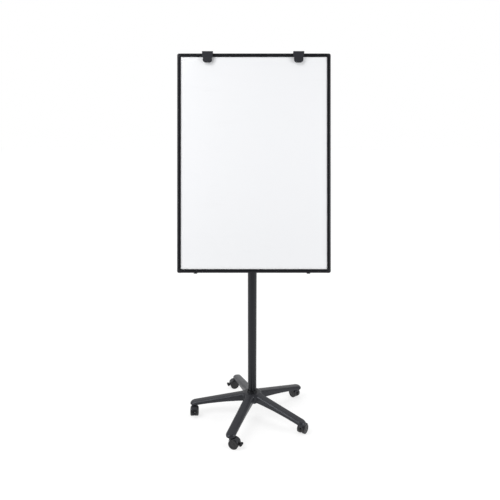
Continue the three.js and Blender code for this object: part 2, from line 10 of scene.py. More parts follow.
import bmesh
import bpy
import numpy as np
from mathutils import Matrix, Vector


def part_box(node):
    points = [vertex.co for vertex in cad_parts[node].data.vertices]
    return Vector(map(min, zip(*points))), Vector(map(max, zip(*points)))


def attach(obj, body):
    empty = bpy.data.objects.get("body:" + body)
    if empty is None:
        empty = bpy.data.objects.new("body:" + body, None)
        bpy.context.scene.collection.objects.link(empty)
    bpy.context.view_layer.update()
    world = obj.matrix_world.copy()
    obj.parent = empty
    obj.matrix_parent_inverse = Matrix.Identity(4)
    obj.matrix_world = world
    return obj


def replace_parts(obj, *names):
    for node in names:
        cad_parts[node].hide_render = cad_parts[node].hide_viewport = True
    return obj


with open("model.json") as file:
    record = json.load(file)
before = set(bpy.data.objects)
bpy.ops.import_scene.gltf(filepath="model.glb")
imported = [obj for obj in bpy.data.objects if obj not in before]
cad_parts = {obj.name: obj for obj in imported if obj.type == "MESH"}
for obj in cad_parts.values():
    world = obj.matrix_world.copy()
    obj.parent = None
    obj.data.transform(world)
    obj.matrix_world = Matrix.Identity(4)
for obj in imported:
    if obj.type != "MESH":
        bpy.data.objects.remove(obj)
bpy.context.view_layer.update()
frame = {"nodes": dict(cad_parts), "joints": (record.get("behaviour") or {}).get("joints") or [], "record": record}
NODES = frame["nodes"]
JOINTS = {j["name"]: j for j in frame["joints"]}
MM = 0.001
SHARP_FROM = math.radians(40)  # edges sharper than this aren't shaded smooth


# ------------------------------------------------------------------------------------ placing
def centre(node):
    low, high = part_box(node)
    return (low + high) / 2


def matrix_of(x, y, z, origin):
    """The matrix whose columns are the axes x, y and z and the place of the origin."""
    return Matrix([(*axis, 0) for axis in (x, y, z)] + [(*origin, 1)]).transposed()


def basis(origin, x, y, z):
    """The matrix that carries a local frame in millimetres to its place in metres."""
    axes = [[c * MM for c in Vector(axis).normalized()] for axis in (x, y, z)]
    return matrix_of(*axes, origin)


X, Y, Z = Vector((1, 0, 0)), Vector((0, 1, 0)), Vector((0, 0, 1))
WORLD = basis((0, 0, 0), X, Y, Z)


def board_matrix():
    """Origin at the middle of the frame's front face, +Y into the board, +Z up along it."""
    points = [v.co for v in NODES["writing_sheet"].data.vertices]
    foot = min(points, key=lambda p: p.y)
    head = max(points, key=lambda p: p.z)
    up = Vector((0, head.y - foot.y, head.z - foot.z)).normalized()
    into = up.cross(X)
    sheet_front = Vector((centre("writing_sheet").x, (head.y + foot.y) / 2, (head.z + foot.z) / 2))
    rail_front = min(v.co.dot(into) for v in NODES["frame_rail_left"].data.vertices)
    return basis(sheet_front + into * (rail_front - sheet_front.dot(into)), X, into, up)


BOARD = board_matrix()


def in_board(point):
    return BOARD.inverted() @ Vector(point)


def board_box(node):
    """The lowest and highest corners of a CAD node in the board's frame, in millimetres."""
    points = np.array([in_board(v.co) for v in NODES[node].data.vertices])
    return points.min(0), points.max(0)


def castor_matrix(letter):
    """Origin on the floor under the stem, +X towards the trailing side, where the axle is."""
    swivel = Vector(JOINTS[f"castor_{letter}_swivel"]["pos_m"])
    axle = Vector(JOINTS[f"castor_{letter}_left_roll"]["pos_m"])
    trail = Vector((axle.x - swivel.x, axle.y - swivel.y, 0))
    return basis((swivel.x, swivel.y, 0), trail, Z.cross(trail), Z)


BODY_OF = {
    node: body for body, nodes in frame["record"]["behaviour"]["bodies"].items() for node in nodes
}


def place(mesh, name, matrix, body, slot):
    """Makes a piece of a local mesh in millimetres, and lets it ride on a CAD body."""
    mesh.transform(matrix)
    mesh.polygons.foreach_set("use_smooth", [True] * len(mesh.polygons))
    mesh.set_sharp_from_angle(angle=SHARP_FROM)
    mesh.update()
    piece = bpy.data.objects.new(name, mesh)
    bpy.context.scene.collection.objects.link(piece)
    mesh.materials.append(MATERIALS[slot])
    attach(piece, body)
    return piece


def stand_for(node, mesh, matrix, slot):
    """The same, for a mesh that is shown instead of a CAD node."""
    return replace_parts(place(mesh, node + "_part", matrix, BODY_OF[node], slot), node)


# ---------------------------------------------------------------------------- building meshes
def mesh_of(vertices, faces):
    mesh = bpy.data.meshes.new("shape")
    mesh.from_pydata([tuple(v) for v in vertices], [], [tuple(f) for f in faces])
    mesh.validate()
    return mesh


def joined(*meshes):
    """One mesh that holds several, which may touch but are separate shells."""
    bm = bmesh.new()
    for mesh in meshes:
        bm.from_mesh(mesh)
    result = bpy.data.meshes.new("shape")
    bm.to_mesh(result)
    bm.free()
    for mesh in meshes:
        bpy.data.meshes.remove(mesh)
    return result


def turned(profile, sides):
    """Turns an outline of (radius, height), listed with the solid on its left, about the Z axis."""
    profile = np.array(profile, float)
    on_axis = profile[:, 0] < 1e-6
    angles = np.linspace(0, 2 * math.pi, sides, endpoint=False)
    vertices, rows = [], []
    for (radius, height), axial in zip(profile, on_axis):
        if axial:
            rows.append([len(vertices)] * sides)
            vertices.append((0, 0, height))
            continue
        rows.append(list(range(len(vertices), len(vertices) + sides)))
        vertices += [(radius * math.cos(a), radius * math.sin(a), height) for a in angles]
    faces = []
    closed = not (on_axis[0] and on_axis[-1])
    for here, ahead in zip(rows, rows[1:] + ([rows[0]] if closed else [])):
        for i in range(sides):
            j = (i + 1) % sides
            face = [here[i], here[j], ahead[j], ahead[i]]
            face = [v for k, v in enumerate(face) if v != face[k - 1]]
            if len(set(face)) > 2:
                faces.append(face)
    return mesh_of(vertices, faces)


def rounded_outline(points, radii, steps=5):
    """A closed outline in two dimensions whose corners are rounded, each with its own radius."""
    points = [Vector(p).to_2d() for p in points]
    radii = radii if hasattr(radii, "__len__") else [radii] * len(points)
    result = []
    for i, (corner, radius) in enumerate(zip(points, radii)):
        before, after = points[i - 1] - corner, points[(i + 1) % len(points)] - corner
        half = before.angle(after, 0) / 2
        if radius <= 0 or half < 1e-3 or abs(half - math.pi / 2) < 1e-3:
            result.append(corner)
            continue
        reach = min(radius / math.tan(half), before.length * 0.49, after.length * 0.49)
        radius = reach * math.tan(half)
        start, end = corner + before.normalized() * reach, corner + after.normalized() * reach
        inwards = (before.normalized() + after.normalized()).normalized()
        middle = corner + inwards * radius / math.sin(half)
        first = math.atan2(*(start - middle).yx)
        sweep = (math.atan2(*(end - middle).yx) - first + math.pi) % (2 * math.pi) - math.pi
        for k in range(steps + 1):
            angle = first + sweep * k / steps
            result.append(middle + Vector((math.cos(angle), math.sin(angle))) * radius)
    return result


def swept(outline, length):
    """Extrudes an anticlockwise XY outline along +Z."""
    count = len(outline)
    vertices = [(*p, z) for z in (0, length) for p in outline]
    sides = [[i, (i + 1) % count, count + (i + 1) % count, count + i] for i in range(count)]
    foot, head = list(range(count))[::-1], list(range(count, 2 * count))
    return mesh_of(vertices, [foot, *sides, head])


def rounded_box(low, high, radius):
    """A box with all its edges rounded."""
    low, high = Vector(low), Vector(high)
    bm = bmesh.new()
    bmesh.ops.create_cube(bm, size=1.0)
    size = high - low
    bmesh.ops.scale(bm, vec=size, verts=bm.verts)
    bmesh.ops.translate(bm, vec=(low + high) / 2, verts=bm.verts)
    bmesh.ops.bevel(
        bm, geom=bm.edges[:], offset=radius, segments=3, profile=0.5, affect="EDGES",
        clamp_overlap=True,
    )
    mesh = bpy.data.meshes.new("shape")
    bm.to_mesh(mesh)
    bm.free()
    return mesh


def carried(mesh, x, y, z, origin=(0, 0, 0)):
    """Turns a mesh so that its own axes lie along x, y and z, and moves it to origin."""
    m = matrix_of(x, y, z, origin)
    mesh.transform(m)
    if m.determinant() < 0:
        mesh.flip_normals()
    return mesh


# ------------------------------------------------- shapes as signed distances, in millimetres
def smooth_min(a, b, blend):
    h = np.clip(0.5 + 0.5 * (b - a) / blend, 0, 1)
    return b * (1 - h) + a * h - blend * h * (1 - h)


def smooth_max(a, b, blend):
    return -smooth_min(-a, -b, blend)


def box_field(point, low, high, radius=0.0):
    outside, inside = 0, None
    for value, lo, hi in zip(point, low, high):
        q = np.abs(value - (lo + hi) / 2) - ((hi - lo) / 2 - radius)
        outside = outside + np.maximum(q, 0) ** 2
        inside = q if inside is None else np.maximum(inside, q)
    return np.sqrt(outside) + np.minimum(inside, 0) - radius


def rod_field(across, along, radius, low, high, edge=0.0):
    """A round bar: across is the distance from its axis, along the place on it."""
    qa = across - (radius - edge)
    qb = np.abs(along - (low + high) / 2) - ((high - low) / 2 - edge)
    return np.hypot(np.maximum(qa, 0), np.maximum(qb, 0)) + np.minimum(np.maximum(qa, qb), 0) - edge


def polygon_field(u, v, points):
    """Signed distance to a closed polygon in two dimensions."""
    points = [np.array(p, float) for p in points]
    nearest = np.full(np.shape(u), np.inf)
    inside = np.zeros(np.shape(u), bool)
    for a, b in zip(points, points[1:] + points[:1]):
        edge = b - a
        du, dv = u - a[0], v - a[1]
        share = np.clip((du * edge[0] + dv * edge[1]) / (edge @ edge), 0, 1)
        nearest = np.minimum(nearest, (du - share * edge[0]) ** 2 + (dv - share * edge[1]) ** 2)
        crosses = (a[1] > v) != (b[1] > v)
        if abs(edge[1]) > 1e-9:
            inside ^= crosses & (u < edge[0] * (v - a[1]) / edge[1] + a[0])
    return np.where(inside, -1, 1) * np.sqrt(nearest)


def crossings(depth, axis, step, low):
    """Where the surface crosses the grid's edges along one axis: the mask and the place along it."""
    here = [slice(None)] * 3
    ahead = [slice(None)] * 3
    here[axis], ahead[axis] = slice(None, -1), slice(1, None)
    a, b = depth[tuple(here)], depth[tuple(ahead)]
    mask = (a < 0) != (b < 0)
    share = np.where(mask, a / np.where(mask, a - b, 1), 0)
    shape = [1, 1, 1]
    shape[axis] = -1
    base = (low[axis] + step * np.arange(a.shape[axis])).reshape(shape)
    return mask, base + share * step, a < 0


def surface(field, low, high, step):
    """The surface of a signed distance field as an even mesh of quads, by surface nets."""
    low, high = np.array(low, float) - 2 * step, np.array(high, float) + 2 * step
    counts = np.ceil((high - low) / step).astype(int) + 1
    axes = [lo + step * np.arange(n) for lo, n in zip(low, counts)]
    grid = np.meshgrid(*axes, indexing="ij")
    depth = field(*grid)
    if min(depth.take(end, axis).min() for axis in range(3) for end in (0, -1)) < 0:
        raise ValueError("the shape reaches past the limits given")
    cells = tuple(counts - 1)
    total, hits = np.zeros((3, *cells)), np.zeros(cells, int)
    found = []
    for axis in range(3):
        mask, place, inside = crossings(depth, axis, step, low)
        found.append((mask, inside))
        others = [a for a in range(3) if a != axis]
        for first in (0, 1):
            for second in (0, 1):
                cut = [slice(None)] * 3
                for other, shift in zip(others, (first, second)):
                    cut[other] = slice(shift, shift + cells[other])
                part = mask[tuple(cut)]
                hits += part
                total[axis] += np.where(part, place[tuple(cut)], 0)
                for other, shift in zip(others, (first, second)):
                    shape = [1, 1, 1]
                    shape[other] = -1
                    line = (axes[other][:-1] + shift * step).reshape(shape)
                    total[other] += np.where(part, line, 0)
    used = hits > 0
    index = np.full(cells, -1)
    index[used] = np.arange(used.sum())
    vertices = (total[:, used] / hits[used]).T
    quads = []
    for axis, (mask, inside) in enumerate(found):
        b, c = (axis + 1) % 3, (axis + 2) % 3
        places = np.argwhere(mask)
        ok = (places[:, b] > 0) & (places[:, c] > 0)
        places = places[ok]
        corners = []
        for back_b, back_c in ((1, 1), (0, 1), (0, 0), (1, 0)):
            cell = places.copy()
            cell[:, b] -= back_b
            cell[:, c] -= back_c
            corners.append(index[tuple(cell.T)])
        quad = np.stack(corners, 1)
        outward = inside[tuple(places.T)]
        quads.append(np.where(outward[:, None], quad, quad[:, ::-1]))
    return mesh_of(settled(field, vertices, step).tolist(), np.concatenate(quads).tolist())


def settled(field, vertices, step):
    """Moves vertices onto the surface itself, along the field's slope, by a part of a step at a time."""
    small = step * 0.05
    shifts = np.eye(3) * small
    for _ in range(3):
        value = field(*vertices.T)
        slope = np.stack([
            (field(*(vertices + shift).T) - field(*(vertices - shift).T)) / (2 * small)
            for shift in shifts
        ], 1)
        length = np.maximum((slope ** 2).sum(1), 0.1)
        move = -(value / length)[:, None] * slope
        reach = np.linalg.norm(move, axis=1, keepdims=True)
        vertices = vertices + move * np.minimum(1, 0.4 * step / np.maximum(reach, 1e-9))
    return vertices


# ---------------------------------------------------------------------------------- materials
class Finish:
    """A material whose colour, roughness and relief come from procedural nodes."""

    def __init__(self, name, **constants):
        self.material = bpy.data.materials.new(name)
        self.material.use_nodes = True
        self.tree = self.material.node_tree
        self.shader = self.tree.nodes["Principled BSDF"]
        for socket, value in constants.items():
            self.shader.inputs[socket.replace("_", " ")].default_value = value
        self.place = self.tree.nodes.new("ShaderNodeTexCoord").outputs["Object"]
        self.normal = None

    def node(self, kind, settings=(), **inputs):
        """Adds a node; an input is called by its name, or by _ and its number."""
        made = self.tree.nodes.new(kind)
        for key, value in dict(settings).items():
            setattr(made, key, value)
        for socket, value in inputs.items():
            numbered = socket[1:].isdigit()
            socket = made.inputs[int(socket[1:]) if numbered else socket.replace("_", " ")]
            if isinstance(value, bpy.types.NodeSocket):
                self.tree.links.new(value, socket)
            else:
                socket.default_value = value
        return made

    def noise(self, scale, detail=2.0, stretch=None, rough=0.5):
        """Noise with scale features in a metre; stretch scales each axis of the object."""
        place = self.place
        if stretch:
            place = self.node("ShaderNodeMapping", Vector=place, Scale=stretch).outputs[0]
        inputs = {"Scale": scale, "Detail": detail, "Roughness": rough}
        return self.node("ShaderNodeTexNoise", Vector=place, **inputs).outputs["Fac"]

    def ramp(self, value, *stops):
        """Maps 0 to 1 to the values or colours of stops, a list of (place, value)."""
        made = self.node("ShaderNodeValToRGB", Fac=value)
        elements = made.color_ramp.elements
        while len(elements) < len(stops):
            elements.new(0.5)
        for element, (place, colour) in zip(elements, stops):
            element.position = place
            element.color = (*(colour if hasattr(colour, "__len__") else [colour] * 3), 1)
        return made.outputs["Color"]

    def sum(self, operation, a, b):
        """One step of arithmetic."""
        return self.node("ShaderNodeMath", {"operation": operation}, _0=a, _1=b).outputs[0]

    def mix(self, share, a, b):
        made = self.node("ShaderNodeMix", {"data_type": "RGBA"}, _0=share)
        for index, value in ((6, a), (7, b)):
            if isinstance(value, bpy.types.NodeSocket):
                self.tree.links.new(value, made.inputs[index])
            else:
                made.inputs[index].default_value = (*value, 1)
        return made.outputs[2]

    def edges(self, low=0.53, high=0.62):
        """1 on outer edges, where a hand or a foot rubs, and 0 elsewhere."""
        bend = self.tree.nodes.new("ShaderNodeNewGeometry").outputs["Pointiness"]
        return self.ramp(bend, (low, 0), (high, 1))

    def relief(self, height, distance, strength=1.0):
        inputs = {"Height": height, "Distance": distance, "Strength": strength}
        if self.normal is not None:
            inputs["Normal"] = self.normal
        self.normal = self.node("ShaderNodeBump", **inputs).outputs[0]

    def done(self, colour, roughness):
        for socket, value in (("Base Color", colour), ("Roughness", roughness), ("Normal", self.normal)):
            self.tree.links.new(value, self.shader.inputs[socket])
        return self.material


COOL = (0.9, 0.93, 1, 1)  # the tint of the gloss on dark plastic and paint


def times(colour, factor):
    return [c * factor for c in colour]


def moulded(name, colour, rough, grain=1400, depth=6e-5, level=0.35, wear=0.35):
    """Moulded plastic with a spark-eroded grain, rubbed edges, faint dust and fine scuffs."""
    f = Finish(name, IOR=1.49, Specular_IOR_Level=level, Specular_Tint=COOL)
    patches = f.noise(9, 4)
    tone = f.mix(patches, times(colour, 0.86), times(colour, 1.14))
    specks = f.ramp(f.noise(grain * 0.8, 1), (0.44, 0.0), (0.7, 1.0))
    tone = f.mix(f.sum("MULTIPLY", specks, 0.35), tone, times(colour, 1.7))
    rubbed = f.sum("MULTIPLY", f.edges(), f.ramp(f.noise(60, 3), (0.4, 0.1), (0.65, wear)))
    tone = f.mix(rubbed, tone, times(colour, 2.4))
    scuff = f.ramp(f.noise(90, 5, (1, 4, 1.6), 0.65), (0.6, 0.0), (0.74, 1.0))
    tone = f.mix(f.sum("MULTIPLY", scuff, 0.12), tone, times(colour, 2.0))
    gloss = f.ramp(f.noise(22, 4), (0.3, rough - 0.05), (0.7, rough + 0.06))
    gloss = f.mix(f.sum("MULTIPLY", rubbed, 0.6), gloss, [rough - 0.12] * 3)
    f.relief(f.noise(grain, 2, rough=0.6), depth)
    f.relief(f.noise(35, 2), 0.0002, 0.25)
    return f.done(tone, gloss)


def coated(name, colour, rough, level):
    """Satin powder coat: a fine orange peel, a few dull patches and rubbed edges."""
    f = Finish(name, IOR=1.5, Specular_IOR_Level=level, Specular_Tint=COOL)
    tone = f.mix(f.noise(6, 3), times(colour, 0.88), times(colour, 1.15))
    rubbed = f.sum("MULTIPLY", f.edges(0.55, 0.68), f.ramp(f.noise(80, 3), (0.5, 0.0), (0.7, 0.5)))
    tone = f.mix(rubbed, tone, times(colour, 3.0))
    fingers = f.ramp(f.noise(14, 5, (1, 1, 0.5), 0.6), (0.5, rough), (0.68, rough + 0.07))
    f.relief(f.noise(620, 1.5), 3.5e-5)
    f.relief(f.noise(2600, 1), 1.2e-5)
    return f.done(tone, fingers)


def enamel(name, colour):
    """Gloss white writing surface with the ghosts of wiped ink and long faint wiping marks."""
    f = Finish(name, IOR=1.5, Specular_IOR_Level=0.3, Coat_Weight=0.1, Coat_Roughness=0.06)
    haze = f.ramp(f.noise(5, 5, (1, 1, 1.4), 0.6), (0.45, 0.0), (0.75, 1.0))
    swipes = f.ramp(f.noise(7, 4, (1, 1, 9), 0.6), (0.5, 0.0), (0.72, 1.0))
    ghost = f.sum("MULTIPLY", haze, swipes)
    tone = f.mix(f.sum("MULTIPLY", ghost, 0.35), colour, times(colour, 0.93))
    wiped = f.sum("MAXIMUM", f.sum("MULTIPLY", swipes, 0.6), haze)
    gloss = f.ramp(wiped, (0.0, 0.14), (1.0, 0.2))
    f.relief(f.noise(3, 1), 0.0003, 0.2)
    f.relief(f.noise(500, 1), 6e-6)
    return f.done(tone, gloss)


def fibreboard(name, colour):
    """Pressed fibre core."""
    f = Finish(name, Specular_IOR_Level=0.2)
    fibres = f.noise(420, 4, (1, 1, 3), 0.7)
    flecks = f.ramp(f.noise(900, 2), (0.62, 0.0), (0.72, 0.6))
    tone = f.mix(flecks, f.mix(fibres, times(colour, 0.7), times(colour, 1.25)), times(colour, 0.35))
    f.relief(fibres, 0.0002)
    return f.done(tone, f.ramp(fibres, (0.3, 0.95), (0.7, 0.8)))


def spangled(name, colour):
    """Galvanised sheet with crystals a few millimetres across."""
    f = Finish(name, Specular_IOR_Level=0.5, Metallic=0.9)
    crystal = f.node("ShaderNodeTexVoronoi", Vector=f.place, Scale=110, Randomness=1.0)
    share = f.node("ShaderNodeSeparateColor", Color=crystal.outputs["Color"]).outputs[0]
    tone = f.mix(share, times(colour, 0.78), times(colour, 1.15))
    dull = f.ramp(f.noise(12, 4), (0.4, 0.0), (0.8, 0.5))
    tone = f.mix(dull, tone, times(colour, 0.8))
    f.relief(share, 1.5e-5)
    return f.done(tone, f.ramp(share, (0.0, 0.34), (1.0, 0.52)))


def plated(name, colour, rough, lines, fine=900):
    """Plated steel with polishing lines along one axis, and dull patches of tarnish."""
    f = Finish(name, Specular_IOR_Level=0.5, Metallic=1.0)
    brushed = f.noise(fine, 2, lines)
    tarnish = f.ramp(f.noise(25, 4), (0.45, 0.0), (0.75, 0.6))
    tone = f.mix(tarnish, f.mix(brushed, times(colour, 0.92), times(colour, 1.08)), times(colour, 0.72))
    f.relief(brushed, 8e-6)
    return f.done(tone, f.ramp(brushed, (0.3, rough - 0.06), (0.7, rough + 0.1)))


def rolled(name, colour, rough):
    """A hard wheel: moulded, with the tread scoured dull and dusty by the floor."""
    f = Finish(name, IOR=1.5, Specular_IOR_Level=0.35)
    grit = f.ramp(f.noise(260, 5, rough=0.7), (0.45, 0.0), (0.7, 1.0))
    tone = f.mix(f.noise(15, 3), times(colour, 0.85), times(colour, 1.2))
    worn = f.sum("MULTIPLY", f.edges(0.52, 0.6), f.ramp(f.noise(140, 4), (0.35, 0.2), (0.65, 0.8)))
    tone = f.mix(worn, tone, times(colour, 2.3))
    tone = f.mix(f.sum("MULTIPLY", grit, 0.25), tone, (0.09, 0.085, 0.078))
    f.relief(f.noise(1100, 2), 5e-5)
    f.relief(f.noise(300, 4), 8e-5, 0.5)
    return f.done(tone, f.ramp(grit, (0.0, rough), (1.0, rough + 0.2)))


MATERIALS = {
    "base_nylon": moulded("base_nylon", (0.02, 0.0204, 0.024), 0.34, 1100, 4e-5, 0.3),
    "black_paint": coated("black_paint", (0.0062, 0.0064, 0.0078), 0.33, 0.34),
    "frame_black": coated("frame_black", (0.0045, 0.0045, 0.0056), 0.4, 0.28),
    "corner_plastic": moulded("corner_plastic", (0.0075, 0.0075, 0.0088), 0.5, 1700, 5e-5, 0.3, 0.2),
    "clip_plastic": moulded("clip_plastic", (0.018, 0.018, 0.0215), 0.58, 520, 2.2e-4, 0.3, 0.3),
    "castor_plastic": moulded("castor_plastic", (0.0135, 0.0138, 0.0162), 0.36, 1500, 4e-5, 0.38),
    "wheel_plastic": rolled("wheel_plastic", (0.0125, 0.0128, 0.015), 0.4),
    "lever_plastic": moulded("lever_plastic", (0.007, 0.007, 0.0082), 0.48, 1700, 4e-5, 0.3),
    "black_plastic": moulded("black_plastic", (0.0048, 0.0048, 0.0056), 0.46, 1700, 5e-5, 0.22, 0.25),
    "white_enamel": enamel("white_enamel", (0.815, 0.822, 0.839)),
    "core_board": fibreboard("core_board", (0.45, 0.37, 0.26)),
    "zinc_steel": spangled("zinc_steel", (0.48, 0.49, 0.5)),
    "plated_steel": plated("plated_steel", (0.3, 0.3, 0.31), 0.26, (1, 1, 0.02)),
    "steel": plated("steel", (0.42, 0.42, 0.43), 0.32, (1, 1, 1), 500),
}

# ---------------------------------------------------------------------------------- star base
LETTERS = "abcde"
STEMS = {letter: centre(f"castor_{letter}_stem") / MM for letter in LETTERS}
STEM_CIRCLE = sum(math.hypot(p.x, p.y) for p in STEMS.values()) / len(STEMS)
FIRST_ARM = math.atan2(STEMS["a"].y, STEMS["a"].x)
HUB_TOP = 132
HUB = [
    (0, 75), (27, 75), (32, 84), (40, 88), (44, 94), (44, 112), (39, 126), (31, HUB_TOP), (0, HUB_TOP),
]
ARM_ROOT_TOP, ARM_TIP_TOP, ARM_TOP_FROM = 131, 76.4, 36
ARM_HALF, ARM_SKIN, SHOULDER = 23.4, 7, 6.5
POCKETS, POCKET_HALF = ((62, 128), (133, 199), (204, 276)), 15.5
TUBE_BORE, TUBE_REST = 22.55, 84
STEM_BORE, STEM_ROOF, BOLT_BORE = 5.8, 70.3, 5.8


def arm_top(r):
    fall = (r - ARM_TOP_FROM) * (ARM_ROOT_TOP - ARM_TIP_TOP) / (STEM_CIRCLE - ARM_TOP_FROM)
    return np.minimum(ARM_ROOT_TOP, ARM_ROOT_TOP - fall)


def arm_bottom(r):
    return np.maximum(56.8, 89 - 0.042 * (r - 44) - 0.000315 * (r - 44) ** 2)


def arm_field(u, w, z):
    """One arm: u runs along it from the column's axis, w across."""
    side = np.hypot(np.maximum(u - STEM_CIRCLE, 0), w)
    top = arm_top(u) - 0.003 * np.minimum(side, ARM_HALF) ** 2
    depth = z - top
    plan = side - ARM_HALF + 0.035 * np.maximum(-depth - SHOULDER, 0)
    shoulder = ((side - 16.4) * SHOULDER + depth * 7) / math.hypot(SHOULDER, 7)
    body = smooth_max(smooth_max(plan, 0.97 * depth, 1.5), shoulder, 1.3)
    return smooth_max(smooth_max(body, arm_bottom(u) - z, 1.6), -u, 1.0)


def pocket_field(u, w, z):
    roof = arm_top(u) - ARM_SKIN
    draft = POCKET_HALF - 2 * np.clip((z - 57) / 60, 0, 1)
    nearest = np.full(np.shape(u), 1e3)
    for near, far in POCKETS:
        ends = np.abs(u - (near + far) / 2) - (far - near) / 2
        nearest = np.minimum(nearest, smooth_max(ends, np.abs(w) - draft, 3.0))
    return smooth_max(nearest, z - roof, 3.0)


def base_field(x, y, z):
    rho, around = np.hypot(x, y), np.arctan2(y, x) - FIRST_ARM
    fifth = 2 * math.pi / 5
    off = around - np.round(around / fifth) * fifth
    arms = []
    for turn in (off, off - np.sign(off) * fifth):
        arms.append(arm_field(rho * np.cos(turn), rho * np.sin(turn), z))
    solid = smooth_min(arms[0], arms[1], 22.0)
    hub = np.maximum(rho - 80, 5.0)
    near = rho < 90
    hub[near] = polygon_field(rho[near], z[near], HUB)
    solid = np.where(near, smooth_min(solid, hub, 12.0), solid)
    solid = smooth_max(solid, z - HUB_TOP, 1.5)
    u, w = rho * np.cos(off), rho * np.sin(off)
    socket = np.maximum(np.hypot(u - STEM_CIRCLE, w) - STEM_BORE, z - STEM_ROOF)
    bore = np.maximum(rho - TUBE_BORE, TUBE_REST - z)
    hollows = ((pocket_field(u, w, z), 1.5), (socket, 0.8), (bore, 1.2), (rho - BOLT_BORE, 0.8))
    for hollow, blend in hollows:
        solid = smooth_max(solid, -hollow, blend)
    return solid


reach = STEM_CIRCLE + ARM_HALF + 1
base_mesh = surface(base_field, (-reach, -reach, 56), (reach, reach, HUB_TOP + 1), 2.2)
stand_for("star_base", base_mesh, WORLD, "base_nylon")


def hex_bolt(across, head, flange, shank, reach):
    """A bolt from z = 0 up to reach.

    Its hexagon is across from the axis to a corner and its head high, and flange is (radius, top).
    """
    def field(x, y, z):
        rho, around = np.hypot(x, y), np.arctan2(y, x)
        sixth = math.pi / 3
        flat = rho * np.cos(around - np.round(around / sixth) * sixth) - across * math.cos(sixth / 2)
        body = smooth_max(flat, np.abs(z - head / 2) - head / 2, 0.6)
        body = smooth_max(body, rho - across * 0.97, 0.6)
        body = smooth_max(body, (rho - across * 0.86 - z) * 0.7, 0.4)
        if flange:
            body = smooth_min(body, rod_field(rho, z, flange[0], head - 0.5, flange[1], 0.5), 0.5)
        return smooth_min(body, rod_field(rho, z, shank, head - 1, reach, 0.4), 0.6)
    wide = max(across, flange[0] if flange else 0)
    return surface(field, (-wide, -wide, 0), (wide, wide, reach), 0.7)


low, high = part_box("base_bolt")
bolt_mesh = hex_bolt(9.5, 7.3, (14, 9.2), 5, (high.z - low.z) / MM)
stand_for("base_bolt", bolt_mesh, basis((0, 0, low.z), X, Y, Z), "steel")

# ------------------------------------------------------------------------------------- castors
TRAIL, AXLE_Z, WHEEL_R, WHEEL_INNER, WHEEL_WIDTH = 19, 25, 25, 4.2, 16.6
COVER_IN, COVER_OUT, HOOD_HALF, WEB_HALF, NECK_R, NECK_TOP = 26.4, 29, 21, 3.6, 9.5, 55.6
LEVER_X, LEVER_Z, TREAD_HALF = TRAIL + 16.5, AXLE_Z + 7.5, 11


def arc(middle, radius, first, last, steps=14):
    angles = np.radians(np.linspace(first, last, steps))
    return [(middle[0] + radius * math.cos(a), middle[1] + radius * math.sin(a)) for a in angles]


def shoulder(rho, wide, radius, half, rounding):
    """A drum whose outer edges are rounded, as a distance; wide is the place along its axis."""
    u, v = rho - radius + rounding, wide - half + rounding
    return np.hypot(np.maximum(u, 0), np.maximum(v, 0)) + np.minimum(np.maximum(u, v), 0) - rounding


def hood_mesh(brake):
    web = arc((TRAIL, AXLE_Z), COVER_OUT - 1, 46, 152) + arc((TRAIL, AXLE_Z), 7, 200, 330, 10)
    if brake:
        web.append((LEVER_X + 4, LEVER_Z - 5))
    first, last = math.radians(32), math.radians(152)

    def field(x, y, z):
        rho, wide = np.hypot(x - TRAIL, z - AXLE_Z), np.abs(y)
        crown = shoulder(rho, wide, COVER_OUT, HOOD_HALF, 9.0)
        cover = smooth_max(crown, -shoulder(rho, wide, COVER_IN, 40, 0.0), 0.6)
        wheel_room = shoulder(rho, wide, WHEEL_R + 1.3, WHEEL_INNER + WHEEL_WIDTH + 0.6, 6.5)
        cover = smooth_max(cover, -wheel_room, 0.4)
        low_end = (x - TRAIL) * math.sin(first) - (z - AXLE_Z) * math.cos(first)
        high_end = (z - AXLE_Z) * math.cos(last) - (x - TRAIL) * math.sin(last)
        cover = smooth_max(cover, smooth_max(low_end, high_end, 1.0), 1.2)
        neck = rod_field(np.hypot(x, y), z, NECK_R, AXLE_Z + 17, NECK_TOP, 0.8)
        shell = smooth_max(smooth_min(cover, neck, 5.0), COVER_IN - rho, 0.6)
        plate = smooth_max(polygon_field(x, z, web), wide - WEB_HALF, 1.0)
        solid = smooth_min(shell, plate, 1.2)
        solid = smooth_max(solid, -np.maximum(np.hypot(x, y) - STEM_BORE, 46 - z), 0.5)
        solid = smooth_max(solid, 3.3 - rho, 0.4)
        if brake:
            slot = box_field((x, y, z), (TRAIL + 9, -1.6, 18), (TRAIL + 60, 1.6, AXLE_Z + 14))
            solid = smooth_max(solid, -slot, 0.4)
            solid = smooth_max(solid, 2.1 - np.hypot(x - LEVER_X, z - LEVER_Z), 0.4)
        return solid

    return surface(field, (-11, -HOOD_HALF, 16), (TRAIL + COVER_OUT, HOOD_HALF, 56), 0.85)


